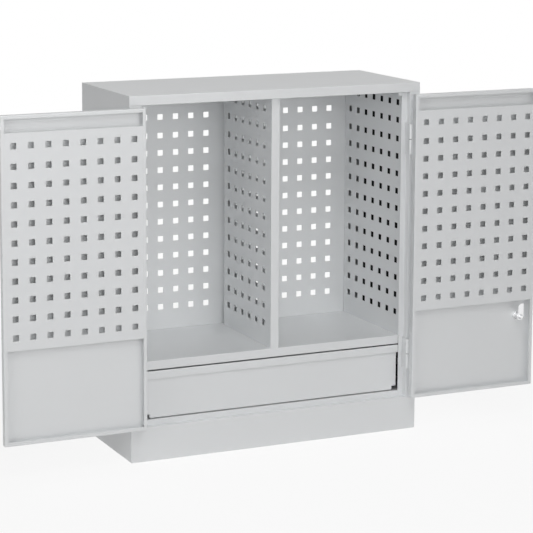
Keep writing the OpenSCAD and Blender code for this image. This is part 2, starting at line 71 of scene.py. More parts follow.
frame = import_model()
SIDES = ("left", "right")
MERGE = 1e-6                                    # corners closer than this are one corner
MARGIN = 0.0005                                 # from a box's side to what lies inside it
FLAT = radians(0.5)                             # faces that differ by less are one face
SHARP = radians(20)                             # edges below this belong to a round surface
CREASE = radians(40)                            # edges above this stay sharp in the shading
ALIKE = 0.02                                    # share by which two like areas may differ
PAST = 0.0004                                   # how far a hole's cutter goes past the sheet
WELD = 0.00001                                  # corners of a cutter's halves that are joined
ONE_HOLE = 0.02                                 # walls nearer in height belong to one hole
STILE = 0.02                                    # depth of the stile in front of a hollow wall
BACK_FLANGE = 0.005                             # depth of the flange behind a hollow wall
FACING_FRONT = (pi / 2, 0.0, 0.0)               # a hole field in x and z
FACING_SIDE = (pi / 2, 0.0, pi / 2)             # a hole field in y and z


# ---- Sizes and colours that a user would change ----

class SheetSizes(bpy.types.PropertyGroup):
    """Sheet steel"""
    thickness: FloatProperty(
        name="Thickness", description="Thickness of the sheet steel", default=0.001, min=0.0005,
        max=0.003, unit="LENGTH", subtype="DISTANCE")
    bend: FloatProperty(
        name="Bend", description="Outside radius of a fold", default=0.0016, min=0.0005,
        max=0.004, unit="LENGTH", subtype="DISTANCE")
    inner_bend: FloatProperty(
        name="Inner bend", description="Inside radius of a fold", default=0.0005, min=0.0001,
        max=0.002, unit="LENGTH", subtype="DISTANCE")
    cut_edge: FloatProperty(
        name="Cut edge", description="Rounding of a cut edge under its coat", default=0.00022,
        min=0.00005, max=0.0004, unit="LENGTH", subtype="DISTANCE")
    steps: IntProperty(
        name="Steps", description="Faces across a fold", default=4, min=1, max=8)


class HoleSizes(bpy.types.PropertyGroup):
    """Square hook holes"""
    width: FloatProperty(
        name="Width", description="Side of a square hook hole", default=0.013, min=0.005,
        max=0.02, unit="LENGTH", subtype="DISTANCE")
    corner: FloatProperty(
        name="Corner", description="Corner radius of a hook hole", default=0.0008, min=0.0001,
        max=0.003, unit="LENGTH", subtype="DISTANCE")
    rim: FloatProperty(
        name="Rim", description="Width of the broken rim of a hook hole", default=0.0002,
        min=0.00005, max=0.0004, unit="LENGTH", subtype="DISTANCE")
    across: FloatProperty(
        name="Spacing across", description="Hole spacing sideways", default=0.038, min=0.02,
        max=0.06, unit="LENGTH", subtype="DISTANCE")
    up: FloatProperty(
        name="Spacing up", description="Hole spacing in height", default=0.04, min=0.02,
        max=0.06, unit="LENGTH", subtype="DISTANCE")
    wide: FloatProperty(
        name="Wide spacing", description="Hole spacing under the first row of a door",
        default=0.04265, min=0.02, max=0.06, unit="LENGTH", subtype="DISTANCE")


class FinishColours(bpy.types.PropertyGroup):
    """Colours of the finishes"""
    coat: FloatVectorProperty(
        name="Powder coat", description="Colour of the powder coat", default=(0.795, 0.830, 0.860),
        min=0, max=1, subtype="COLOR")
    # near-black painted shade for the faces inside the hollow side walls; it stands in for the shade
    # there and is not a colour of the steel
    cavity: FloatVectorProperty(
        name="Cavity", description="Colour of the steel inside the hollow side walls",
        default=(0.012, 0.012, 0.013), min=0, max=1, subtype="COLOR")
    # bright painted light: it lightens the faces inside the hollow divider so that its holes look lit
    primer: FloatVectorProperty(
        name="Primer", description="Colour of the primer inside the hollow divider",
        default=(0.90, 0.91, 0.92), min=0, max=1, subtype="COLOR")
    # near-black painted shade: the washers are darkened to stand in for the shadow gap between the
    # hinge knuckles
    washer_shade: FloatVectorProperty(
        name="Oiled steel", description="Colour of the hinge washers", default=(0.07, 0.07, 0.08),
        min=0, max=1, subtype="COLOR")
    zinc: FloatVectorProperty(
        name="Zinc", description="Colour of the zinc plating", default=(0.52, 0.53, 0.54),
        min=0, max=1, subtype="COLOR")
    chrome: FloatVectorProperty(
        name="Chrome", description="Colour of the chrome plating", default=(0.70, 0.70, 0.71),
        min=0, max=1, subtype="COLOR")
    nylon: FloatVectorProperty(
        name="Nylon", description="Colour of the rollers", default=(0.79, 0.79, 0.74),
        min=0, max=1, subtype="COLOR")


class StudioSettings(bpy.types.PropertyGroup):
    """Floor, light and camera"""
    floor_size: FloatProperty(
        name="Floor", description="Side of the square floor", default=24, min=4, max=60,
        unit="LENGTH", subtype="DISTANCE")
    key: FloatProperty(
        name="Key light", description="Power of the lamp beside the camera", default=24, min=0,
        max=500, unit="POWER")
    high: FloatProperty(
        name="High light", description="Power of the high front lamp", default=31, min=0,
        max=500, unit="POWER")
    overhead: FloatProperty(
        name="Overhead light", description="Power of the lamp over the front", default=14,
        min=0, max=500, unit="POWER")
    centre: FloatProperty(
        name="Centre light", description="Power of the lamp straight in front", default=11,
        min=0, max=500, unit="POWER")
    left: FloatProperty(
        name="Left light", description="Power of the lamp at the front left", default=20, min=0,
        max=500, unit="POWER")
    right: FloatProperty(
        name="Right light", description="Power of the low lamp at the right", default=31, min=0,
        max=500, unit="POWER")
    rear: FloatProperty(
        name="Rear light", description="Power of the low lamp behind", default=14, min=0,
        max=500, unit="POWER")
    camera_place: FloatVectorProperty(
        name="Camera", description="Place of the camera", default=(-1.85965, -4.02936, 1.28265),
        unit="LENGTH", subtype="TRANSLATION")
    yaw: FloatProperty(
        name="Yaw", description="Turn of the view to the right of the depth axis",
        default=radians(24.0597), unit="ROTATION", subtype="ANGLE")
    pitch: FloatProperty(
        name="Pitch", description="Tilt of the view below the horizon", default=radians(8.746),
        unit="ROTATION", subtype="ANGLE")
    roll: FloatProperty(
        name="Roll", description="Turn of the picture", default=radians(0.107), unit="ROTATION",
        subtype="ANGLE")
    lens: FloatProperty(
        name="Lens", description="Focal length on a 36 mm sensor", default=134.377, min=20,
        max=300, unit="CAMERA")
    shift: FloatVectorProperty(
        name="Shift", description="Shift of the lens across and up", default=(0.075, -0.18),
        size=2)


# ---- Shader node groups and finishes ----

def linked(tree, kind, modes=(), **inputs):
    """A new node, with its modes set and its inputs set to values or linked to sockets."""
    node = tree.nodes.new(kind)
    for key, value in dict(modes).items():
        setattr(node, key, value)
    for key, value in inputs.items():
        socket = node.inputs[int(key[1:]) if key[0] == "_" else key.replace("_", " ")]
        if isinstance(value, bpy.types.NodeSocket):
            tree.links.new(value, socket)
        else:
            socket.default_value = value
    return node


def math_node(tree, operation, a, b=0.0, c=0.0):
    """The result of a Math node."""
    return linked(tree, "ShaderNodeMath", {"operation": operation}, _0=a, _1=b, _2=c).outputs[0]


def shader_group(name, inputs, outputs):
    """An empty shader node group with named sockets; returns the tree, its inputs and its end."""
    tree = bpy.data.node_groups.new(name, "ShaderNodeTree")
    for label, kind, value in inputs:
        tree.interface.new_socket(label, in_out="INPUT", socket_type=kind).default_value = value
    for label, kind in outputs:
        tree.interface.new_socket(label, in_out="OUTPUT", socket_type=kind)
    return tree, tree.nodes.new("NodeGroupInput").outputs, tree.nodes.new("NodeGroupOutput").inputs


def noise(tree, point, scale, detail=2.0):
    """The value of a noise texture on a point."""
    return linked(tree, "ShaderNodeTexNoise", Vector=point, Scale=scale,
                  Detail=detail).outputs["Fac"]


def span(tree, value, low, high):
    """A noise value's middle part stretched from low to high."""
    node = linked(tree, "ShaderNodeMapRange", Value=value, From_Min=0.3, From_Max=0.7,
                  To_Min=low, To_Max=high)
    return node.outputs[0]


def scaled_colour(tree, colour, factor):
    """A colour made lighter or darker by a factor."""
    node = linked(tree, "ShaderNodeVectorMath", _0=colour)
    node.operation = "SCALE"
    if isinstance(factor, bpy.types.NodeSocket):
        tree.links.new(factor, node.inputs["Scale"])
    else:
        node.inputs["Scale"].default_value = factor
    return node.outputs[0]


def powder_grain():
    """Sprayed powder: cloudy tone, uneven gloss and the fine dimples of the baked coat."""
    tree, given, end = shader_group(
        "Powder grain",
        [("Colour", "NodeSocketColor", (0.6, 0.6, 0.6, 1)), ("Clouds", "NodeSocketFloat", 0.015),
         ("Roughness", "NodeSocketFloat", 0.42), ("Gloss change", "NodeSocketFloat", 0.05),
         ("Dimple scale", "NodeSocketFloat", 620.0)],
        [("Colour", "NodeSocketColor"), ("Roughness", "NodeSocketFloat"),
         ("Height", "NodeSocketFloat")])
    point = tree.nodes.new("ShaderNodeTexCoord").outputs["Object"]
    clouds = span(tree, noise(tree, point, 7.0), -1.0, 1.0)
    specks = span(tree, noise(tree, point, 240.0, 1.0), -0.4, 0.4)
    change = math_node(tree, "ADD", clouds, specks)
    factor = math_node(tree, "MULTIPLY_ADD", change, given["Clouds"], 1.0)
    tree.links.new(scaled_colour(tree, given["Colour"], factor), end["Colour"])
    gloss = span(tree, noise(tree, point, 19.0, 3.0), -1.0, 1.0)
    tree.links.new(math_node(tree, "MULTIPLY_ADD", gloss, given["Gloss change"],
                             given["Roughness"]), end["Roughness"])
    dimples = linked(tree, "ShaderNodeTexNoise", Vector=point, Scale=given["Dimple scale"],
                     Detail=1.0).outputs["Fac"]
    waves = math_node(tree, "MULTIPLY", noise(tree, point, 90.0, 1.0), 2.0)
    tree.links.new(math_node(tree, "ADD", dimples, waves), end["Height"])
    return tree


def plating_grain():
    """Plated metal: crystals in patches, fine drawing lines and uneven gloss."""
    tree, given, end = shader_group(
        "Plating grain",
        [("Colour", "NodeSocketColor", (0.6, 0.6, 0.6, 1)), ("Crystals", "NodeSocketFloat", 0.1),
         ("Crystal scale", "NodeSocketFloat", 130.0), ("Roughness", "NodeSocketFloat", 0.3),
         ("Gloss change", "NodeSocketFloat", 0.08), ("Stretch", "NodeSocketVector", (1, 1, 1))],
        [("Colour", "NodeSocketColor"), ("Roughness", "NodeSocketFloat"),
         ("Height", "NodeSocketFloat")])
    point = tree.nodes.new("ShaderNodeTexCoord").outputs["Object"]
    cells = linked(tree, "ShaderNodeTexVoronoi", Vector=point, Scale=given["Crystal scale"])
    tone = linked(tree, "ShaderNodeSeparateColor", Color=cells.outputs["Color"]).outputs[0]
    change = math_node(tree, "SUBTRACT", tone, 0.5)
    factor = math_node(tree, "MULTIPLY_ADD", change, given["Crystals"], 1.0)
    tree.links.new(scaled_colour(tree, given["Colour"], factor), end["Colour"])
    stretched = linked(tree, "ShaderNodeVectorMath", _0=point, _1=given["Stretch"])
    stretched.operation = "MULTIPLY"
    lines = noise(tree, stretched.outputs[0], 400.0, 2.0)
    gloss = math_node(tree, "ADD", change, span(tree, lines, -1.0, 1.0))
    tree.links.new(math_node(tree, "MULTIPLY_ADD", gloss, given["Gloss change"],
                             given["Roughness"]), end["Roughness"])
    tree.links.new(lines, end["Height"])
    return tree


def finish(name, group, values, metal=0.0, bump=0.05, height=0.0001, **shader):
    """A material from one grain group, a bump and the shader's own plain values."""
    material = bpy.data.materials.new(name)
    material.use_nodes = True
    tree = material.node_tree
    surface = tree.nodes["Principled BSDF"]
    grain = tree.nodes.new("ShaderNodeGroup")
    grain.node_tree = group
    for key, value in values.items():
        grain.inputs[key].default_value = value
    relief = linked(tree, "ShaderNodeBump", Strength=bump, Distance=height,
                    Height=grain.outputs["Height"])
    tree.links.new(grain.outputs["Colour"], surface.inputs["Base Color"])
    tree.links.new(grain.outputs["Roughness"], surface.inputs["Roughness"])
    tree.links.new(relief.outputs["Normal"], surface.inputs["Normal"])
    surface.inputs["Metallic"].default_value = metal
    for key, value in shader.items():
        surface.inputs[key.replace("_", " ")].default_value = value
    return material


def opaque(colour):
    """A colour property as a four-part colour."""
    return (*colour, 1.0)


class TOOLCABINET_OT_finishes(bpy.types.Operator):
    """Makes the powder coat, the painted shade of the hollow side walls, the painted light of the
    hollow divider, the washer steel darkened as painted shade, the plated metals and the nylon
    """
    bl_idname = "tool_cabinet.finishes"
    bl_label = "Finishes"

    def execute(self, context):
        colours = context.scene.cabinet_colours
        powder, plating = powder_grain(), plating_grain()
        finish("coat", powder, {"Colour": opaque(colours.coat), "Roughness": 0.55}, bump=0.12,
               Specular_IOR_Level=0.2)
        # near-black painted shade for the faces inside the hollow side walls
        finish("cavity", powder, {"Colour": opaque(colours.cavity), "Roughness": 0.7}, bump=0.1)
        # bright painted light for the faces inside the hollow divider
        finish("primer", powder, {"Colour": opaque(colours.primer), "Roughness": 0.7}, bump=0.1)
        # washer steel darkened as painted shade for the gap between the knuckles
        finish("oiled_steel", plating, {"Colour": opaque(colours.washer_shade), "Crystals": 0.1,
                                        "Roughness": 0.45}, metal=1.0)
        finish("zinc", plating, {"Colour": opaque(colours.zinc), "Crystals": 0.22,
                                 "Roughness": 0.34}, metal=1.0)
        finish("chrome", plating, {"Colour": opaque(colours.chrome), "Crystals": 0.0,
                                   "Roughness": 0.1, "Gloss change": 0.02,
                                   "Stretch": (1.0, 0.1, 1.0)}, metal=1.0, bump=0.02)
        finish("nylon", powder, {"Colour": opaque(colours.nylon), "Clouds": 0.02,
                                 "Roughness": 0.5, "Dimple scale": 300.0}, bump=0.06)
        return {"FINISHED"}


# ---- Geometry Nodes: perforations ----

def geometry_tree(name, inputs):
    """An empty Geometry Nodes tree; returns the tree and its inputs by name."""
    tree = bpy.data.node_groups.new(name, "GeometryNodeTree")
    tree.is_modifier = True
    tree.interface.new_socket("Geometry", in_out="OUTPUT", socket_type="NodeSocketGeometry")
    tree.interface.new_socket("Geometry", in_out="INPUT", socket_type="NodeSocketGeometry")
    for label, kind, value in inputs:
        socket = tree.interface.new_socket(label, in_out="INPUT", socket_type="NodeSocket" + kind)
        if value is not None:
            socket.default_value = value
    return tree, tree.nodes.new("NodeGroupInput").outputs


def along(tree, x=0.0, y=0.0, z=0.0):
    """A vector from its parts."""
    return linked(tree, "ShaderNodeCombineXYZ", X=x, Y=y, Z=z).outputs[0]


def perforation_tree():
    """Cuts a field of square holes with rounded corners and broken rims into a flat sheet."""
    tree, given = geometry_tree("Perforation", [
        ("Hole width", "Float", 0.013), ("Corner radius", "Float", 0.0008),
        ("Rim", "Float", 0.0002), ("Sheet", "Float", 0.001), ("Spacing across", "Float", 0.038),
        ("Spacing up", "Float", 0.04), ("Wide spacing", "Float", 0.04265), ("Columns", "Int", 7),
        ("Rows", "Int", 13), ("Rows over the wide spacing", "Int", 2),
        ("Centre", "Vector", (0, 0, 0)), ("Turn", "Vector", (0, 0, 0)),
        ("Finish", "Material", None)])

    def size(count, spacing):
        return math_node(tree, "MULTIPLY", math_node(tree, "SUBTRACT", count, 1.0), spacing)

    # hole centres, with the upper rows lifted by what the wide spacing adds
    height = size(given["Rows"], given["Spacing up"])
    grid = linked(tree, "GeometryNodeMeshGrid", Size_X=size(given["Columns"],
                  given["Spacing across"]), Size_Y=height, Vertices_X=given["Columns"],
                  Vertices_Y=given["Rows"])
    place = tree.nodes.new("GeometryNodeInputPosition").outputs[0]
    row_y = linked(tree, "ShaderNodeSeparateXYZ", Vector=place).outputs["Y"]
    under = math_node(tree, "MULTIPLY", math_node(
        tree, "SUBTRACT", given["Rows over the wide spacing"], 0.5), given["Spacing up"])
    limit = math_node(tree, "SUBTRACT", math_node(tree, "MULTIPLY", height, 0.5), under)
    upper = math_node(tree, "GREATER_THAN", row_y, limit)
    lift = math_node(tree, "MULTIPLY", upper, math_node(
        tree, "SUBTRACT", given["Wide spacing"], given["Spacing up"]))
    centres = linked(tree, "GeometryNodeSetPosition", Geometry=grid.outputs["Mesh"],
                     Offset=along(tree, y=lift))

    # half a cutter: straight through half the sheet, wider at its face, and on past it
    square = linked(tree, "GeometryNodeCurvePrimitiveQuadrilateral", Width=given["Hole width"],
                    Height=given["Hole width"])
    corners = linked(tree, "GeometryNodeFilletCurve", {"mode": "POLY"}, Curve=square.outputs[0],
                     Count=2, Radius=given["Corner radius"], Limit_Radius=True)
    outline = linked(tree, "GeometryNodeFillCurve", {"mode": "NGONS"}, Curve=corners.outputs[0])
    half = math_node(tree, "SUBTRACT", math_node(tree, "MULTIPLY", given["Sheet"], 0.5),
                     given["Rim"])
    growth = math_node(tree, "DIVIDE", math_node(tree, "MULTIPLY_ADD", given["Rim"], 2.0,
                       given["Hole width"]), given["Hole width"])
    body, top = outline.outputs[0], None
    for step, reach in enumerate((half, given["Rim"], PAST)):
        shaft = linked(tree, "GeometryNodeExtrudeMesh", Mesh=body, Offset=along(tree, z=1.0),
                       Offset_Scale=reach, Individual=False)
        if top is not None:
            tree.links.new(top, shaft.inputs["Selection"])
        body, top = shaft.outputs["Mesh"], shaft.outputs["Top"]
        if step == 1:
            wider = linked(tree, "GeometryNodeScaleElements", Geometry=body, Selection=top,
                           Scale=growth)
            body = wider.outputs[0]
    turned = linked(tree, "GeometryNodeTransform", Geometry=body)
    turned.inputs["Rotation"].default_value = (pi, 0, 0)
    both = tree.nodes.new("GeometryNodeJoinGeometry")
    tree.links.new(body, both.inputs[0])
    tree.links.new(turned.outputs[0], both.inputs[0])
    cutter = linked(tree, "GeometryNodeMergeByDistance", Geometry=both.outputs[0],
                    Distance=WELD)

    placed = linked(tree, "GeometryNodeInstanceOnPoints", Points=centres.outputs[0],
                    Instance=cutter.outputs[0])
    turn = linked(tree, "FunctionNodeEulerToRotation", _0=given["Turn"])
    field = linked(tree, "GeometryNodeTransform", Geometry=placed.outputs[0],
                   Translation=given["Centre"], Rotation=turn.outputs[0])
    tools = linked(tree, "GeometryNodeRealizeInstances", Geometry=field.outputs[0])
    cut = linked(tree, "GeometryNodeMeshBoolean", {"operation": "DIFFERENCE", "solver": "MANIFOLD"})
    tree.links.new(given["Geometry"], cut.inputs["Mesh 1"])
    tree.links.new(tools.outputs[0], cut.inputs["Mesh 2"])
    real = linked(tree, "GeometryNodeRealizeInstances", Geometry=cut.outputs["Mesh"])
    end = linked(tree, "GeometryNodeSetMaterial", Geometry=real.outputs[0],
                 Material=given["Finish"])
    tree.links.new(end.outputs[0], tree.nodes.new("NodeGroupOutput").inputs[0])
    return tree


def add_tree(obj, tree, values):
    """Puts a Geometry Nodes modifier on an object with its named inputs set."""
    modifier = obj.modifiers.new(tree.name, "NODES")
    modifier.node_group = tree
    sockets = {item.name: item.identifier for item in tree.interface.items_tree
               if item.item_type == "SOCKET" and item.in_out == "INPUT"}
    for label, value in values.items():
        modifier[sockets[label]] = value
    return modifier


def kept_tree(name, make):
    """The tree of that name, made once."""
    return bpy.data.node_groups.get(name) or make()


# ---- Dressing a CAD node: merged, folded, rounded ----

def body_of_node(node):
    """The body that a CAD node rides on."""
    return frame["nodes"][node]["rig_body"]


def merged(node, closed_width=0.0):
    """A CAD node's mesh with its doubles merged, its holes closed if asked, its flat faces joined."""
    bm = bmesh.new()
    bm.from_mesh(frame["nodes"][node].data)
    bmesh.ops.remove_doubles(bm, verts=bm.verts, dist=MERGE)
    if closed_width:
        close_holes(bm, closed_width, bpy.context.scene.cabinet_sheet.thickness)
    bmesh.ops.dissolve_limit(bm, angle_limit=FLAT, verts=bm.verts, edges=bm.edges)
    return bm


def close_holes(bm, width, thickness):
    """Takes out the walls of the square holes, two triangles each, and fills both ends.

    The open edges are kept in the mesh's own order, so that each run gives the same mesh.
    """
    area = width * thickness / 2
    around = width + thickness + hypot(width, thickness)
    walls = [f for f in bm.faces if abs(f.calc_area() - area) < ALIKE * area
             and abs(f.calc_perimeter() - around) < ALIKE / 2 * around]
    bmesh.ops.delete(bm, geom=walls, context="FACES_ONLY")
    bmesh.ops.delete(bm, geom=[e for e in bm.edges if not e.link_faces], context="EDGES")
    rims = dict.fromkeys(e for e in bm.edges if len(e.link_faces) == 1)
    while rims:
        edge = next(iter(rims))
        del rims[edge]
        first, corner = edge.verts
        ring = [first]
        while corner is not first:
            ring.append(corner)
            edge = next(e for e in corner.link_edges if e in rims)
            rims.pop(edge, None)
            corner = edge.other_vert(corner)
        bm.faces.new(ring)
    bmesh.ops.recalc_face_normals(bm, faces=bm.faces)


def room_beside(edge):
    """The least distance from an edge's line to the other corners of its two faces."""
    start = edge.verts[0].co
    line = (edge.verts[1].co - start).normalized()
    gaps = [(v.co - start).cross(line).length for f in edge.link_faces for v in f.verts]
    return min(gap for gap in gaps if gap > 10 * MERGE)


def set_roundings(bm, sizes, solid):
    """Gives each sharp edge the share of the bend radius that it is rounded by.

    Known fault: the front wall of the divider's cam slot is in line with the flange's inner
    face, so its edge is taken for a fold and is rounded too widely.
    """
    layer = bm.edges.layers.float.new("bevel_weight_edge")
    narrow = {f: 2 * f.calc_area() / f.calc_perimeter() < 1.02 * sizes.thickness
              for f in bm.faces}
    for edge in bm.edges:
        if len(edge.link_faces) != 2:
            continue
        one, two = edge.link_faces
        if one.normal.angle(two.normal) < SHARP:
            continue
        if solid:
            radius = solid
        elif narrow[one] or narrow[two]:
            radius = sizes.cut_edge
        elif edge.is_convex:
            radius = sizes.bend
        else:
            radius = sizes.inner_bend
        if not solid:
            room = room_beside(edge)
            share = 0.75 if room < 1.5 * sizes.thickness else 0.48
            radius = min(radius, share * room)
        edge[layer] = radius / sizes.bend


def settle(obj):
    """Turns an object with modifiers into its plain mesh."""
    graph = bpy.context.evaluated_depsgraph_get()
    mesh = bpy.data.meshes.new_from_object(obj.evaluated_get(graph), depsgraph=graph)
    first = obj.data
    obj.modifiers.clear()
    obj.data = mesh
    bpy.data.meshes.remove(first)
    mesh.name = obj.name


def shade(obj):
    """Smooth rounded edges beside flat faces."""
    obj.data.polygons.foreach_set("use_smooth", [True] * len(obj.data.polygons))
    obj.data.set_sharp_from_angle(angle=CREASE)
    weighted = obj.modifiers.new("Shading", "WEIGHTED_NORMAL")
    weighted.mode, weighted.weight, weighted.keep_sharp = "FACE_AREA", 90, True
    settle(obj)


def put(obj, body, slot, *nodes):
    """Hangs a finished piece on its body, in place of the CAD nodes that it stands for."""
    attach(obj, body)
    if nodes:
        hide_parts(*nodes)
    return obj


def dress(node, name, slot="coat", solid=0.0, fields=(), finish_name="", inside=None):
    """A finished copy of a CAD node. A solid part has one rounding, a sheet has its folds."""
    sizes = bpy.context.scene.cabinet_sheet
    holes = bpy.context.scene.cabinet_holes
    bm = merged(node, holes.width if fields else 0.0)
    set_roundings(bm, sizes, solid)
    mesh = bpy.data.meshes.new(name)
    bm.to_mesh(mesh)
    bm.free()
    surface = bpy.data.materials[finish_name or slot]
    mesh.materials.append(surface)
    obj = bpy.data.objects.new(name, mesh)
    bpy.context.scene.collection.objects.link(obj)
    bevel = obj.modifiers.new("Folds", "BEVEL")
    bevel.width, bevel.segments, bevel.limit_method = sizes.bend, sizes.steps, "WEIGHT"
    bevel.use_clamp_overlap, bevel.loop_slide = False, False
    if fields:
        settle(obj)
        cut_between_rows(obj, hole_rows(node)[2])
    for field in fields:
        values = {"Hole width": holes.width, "Corner radius": holes.corner, "Rim": holes.rim,
                  "Sheet": sizes.thickness, "Spacing across": holes.across,
                  "Spacing up": holes.up, "Wide spacing": holes.wide,
                  "Finish": surface, **field}
        add_tree(obj, kept_tree("Perforation", perforation_tree), values)
    settle(obj)
    # faces picked by the test get a second material: painted shade inside the hollow side walls,
    # painted light inside the hollow divider
    if inside:
        painted_light_and_shade, hidden = inside
        obj.data.materials.append(bpy.data.materials[painted_light_and_shade])
        for face in obj.data.polygons:
            if hidden(face.center, face.normal):
                face.material_index = 1
    shade(obj)
    return put(obj, body_of_node(node), slot, node)


def cut_between_rows(obj, levels):
    """Cuts flat faces between the hole rows, so that no face winds round more than one row."""
    width = bpy.context.scene.cabinet_holes.width
    bm = bmesh.new()
    bm.from_mesh(obj.data)
    for lower, upper in zip(levels, levels[1:]):
        if upper - lower > 1.5 * width:
            bmesh.ops.bisect_plane(bm, geom=bm.verts[:] + bm.edges[:] + bm.faces[:], dist=MERGE,
                                   plane_co=(0, 0, (lower + upper) / 2), plane_no=(0, 0, 1))
    bm.to_mesh(obj.data)
    bm.free()


def hole_rows(node):
    """Middle points of a perforated CAD node's holes, as sorted lists of x, y and z."""
    holes = bpy.context.scene.cabinet_holes
    thickness = bpy.context.scene.cabinet_sheet.thickness
    bm = merged(node)
    area = holes.width * thickness
    points = [f.calc_center_median() for f in bm.faces
              if len(f.verts) == 4 and abs(f.calc_area() - area) < ALIKE * area
              and abs(f.normal.z) > 0.9]
    bm.free()
    lists = []
    for axis in range(3):
        seen = []
        for value in sorted(p[axis] for p in points):
            if not seen or value - seen[-1] > MERGE * 100:
                seen.append(value)
        lists.append(seen)
    return lists


# ---- Operators, one for each piece or group of like pieces ----

class TOOLCABINET_OT_side_panels(bpy.types.Operator):
    """Folds the two side panels, with near-black painted shade on their faces inside the hollow walls
    """
    bl_idname = "tool_cabinet.side_panels"
    bl_label = "Side panels"

    def execute(self, context):
        for side, sign in zip(SIDES, (-1, 1)):
            node = side + "_side_panel"
            low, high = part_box(node)
            front, back = low.y + STILE, high.y - BACK_FLANGE

            # faces inside the hollow wall, which get the near-black painted shade
            def hidden(middle, normal):
                return normal.x * sign < -0.9 and front < middle.y < back

            dress(node, node + "_folded", inside=("cavity", hidden))
        return {"FINISHED"}


class TOOLCABINET_OT_top(bpy.types.Operator):
    """Folds the top panel and its door stops"""
    bl_idname = "tool_cabinet.top"
    bl_label = "Top panel"

    def execute(self, context):
        dress("top_panel", "top_panel_folded")
        dress("door_stops", "door_stop_tabs", solid=0.0003)
        return {"FINISHED"}


class TOOLCABINET_OT_plinth(bpy.types.Operator):
    """Folds the plinth, its brace and the bottom panel"""
    bl_idname = "tool_cabinet.plinth"
    bl_label = "Plinth and bottom"

    def execute(self, context):
        dress("plinth", "plinth_folded")
        dress("plinth_brace", "plinth_brace_folded", "zinc")
        dress("bottom_panel", "bottom_panel_folded")
        return {"FINISHED"}


class TOOLCABINET_OT_shelf(bpy.types.Operator):
    """Folds the shelf"""
    bl_idname = "tool_cabinet.shelf"
    bl_label = "Shelf"

    def execute(self, context):
        dress("shelf", "shelf_folded")
        return {"FINISHED"}


class TOOLCABINET_OT_perforated_walls(bpy.types.Operator):
    """Perforates the back panel, the inner side walls and the divider"""
    bl_idname = "tool_cabinet.perforated_walls"
    bl_label = "Perforated walls"

    def execute(self, context):
        for node, sideways in (("back_panel", False), ("left_liner", True), ("right_liner", True),
                               ("divider_left_skin", True), ("divider_right_skin", True)):
            # faces in the divider's hollow get the bright painted light
            inside = ("primer", hollow_of(node)) if "divider" in node else None
            dress(node, node + "_perforated", fields=fields_of(node, sideways, 2), inside=inside)
        return {"FINISHED"}


def hollow_of(node):
    """A test of whether a face of a divider skin lies in the hollow between the two skins, where it
    gets the bright painted light.
    """
    low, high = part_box(node)
    reach = max(abs(low.x), abs(high.x)) - 0.9 * bpy.context.scene.cabinet_sheet.thickness

    def hidden(middle, normal):
        return abs(middle.x) < reach and low.y + MARGIN < middle.y < high.y - MARGIN

    return hidden


def fields_of(node, sideways, upper_rows):
    """What a perforated node's hole fields are: its columns, rows and middle."""
    spacing = bpy.context.scene.cabinet_holes.across
    xs, ys, zs = hole_rows(node)
    columns = ys if sideways else xs
    groups = [[columns[0]]]
    for value in columns[1:]:
        if value - groups[-1][-1] > 1.5 * spacing:
            groups.append([])
        groups[-1].append(value)
    heights = []
    for value in zs:
        if not heights or value - heights[-1][-1] > ONE_HOLE:
            heights.append([])
        heights[-1].append(value)
    rows = [sum(pair) / len(pair) for pair in heights]
    count = len(rows)
    middle_z = rows[0] + (count - 1) * bpy.context.scene.cabinet_holes.up / 2
    fields = []
    for group in groups:
        middle = (group[0] + group[-1]) / 2
        if sideways:
            plane = (xs[0] + xs[-1]) / 2
            centre, turn = (plane, middle, middle_z), FACING_SIDE
        else:
            plane = (ys[0] + ys[-1]) / 2
            centre, turn = (middle, plane, middle_z), FACING_FRONT
        fields.append({"Columns": len(group), "Rows": count, "Centre": centre, "Turn": turn,
                       "Rows over the wide spacing": upper_rows})
    return fields


class TOOLCABINET_OT_hinges(bpy.types.Operator):
    """Rounds the hinge leaves, pins and washers"""
    bl_idname = "tool_cabinet.hinges"
    bl_label = "Hinges"

    def execute(self, context):
        for side in SIDES:
            for part in ("upper_frame", "lower_frame", "upper_door", "lower_door"):
                node = f"{side}_{part}_leaf"
                dress(node, node + "_rounded", solid=0.0003)
            node = side + "_hinge_pins"
            dress(node, node + "_turned", "zinc", solid=0.00025)
            # the washers get the dark painted shade of the knuckle gap
            node = side + "_hinge_washers"
            dress(node, node + "_oiled", "zinc", solid=0.0002, finish_name="oiled_steel")
        return {"FINISHED"}


class TOOLCABINET_OT_doors(bpy.types.Operator):
    """Folds the door shells and perforates their inner panels"""
    bl_idname = "tool_cabinet.doors"
    bl_label = "Doors"

    def execute(self, context):
        for side in SIDES:
            node = side + "_door_shell"
            dress(node, node + "_folded")
            node = side + "_door_panel"
            dress(node, node + "_perforated", fields=fields_of(node, False, 1))
        return {"FINISHED"}


class TOOLCABINET_OT_lock(bpy.types.Operator):
    """Turns the lock, its nuts and its cam"""
    bl_idname = "tool_cabinet.lock"
    bl_label = "Lock"

    def execute(self, context):
        for node, radius in (("lock_housing", 0.0006), ("lock_nut", 0.0006),
                             ("lock_plug", 0.0003), ("lock_cam", 0.0004)):
            dress(node, node + "_chromed", "chrome", solid=radius)
        dress("cam_nut", "cam_nut_plated", "zinc", solid=0.0004)
        return {"FINISHED"}


class TOOLCABINET_OT_drawer(bpy.types.Operator):
    """Folds the drawer front and the tray"""
    bl_idname = "tool_cabinet.drawer"
    bl_label = "Drawer"

    def execute(self, context):
        dress("drawer_front", "drawer_front_folded")
        for node in ("drawer_inner_front", "drawer_bottom", "drawer_back_wall",
                     "drawer_left_wall", "drawer_right_wall"):
            dress(node, node + "_sheet", solid=0.0003)
        return {"FINISHED"}


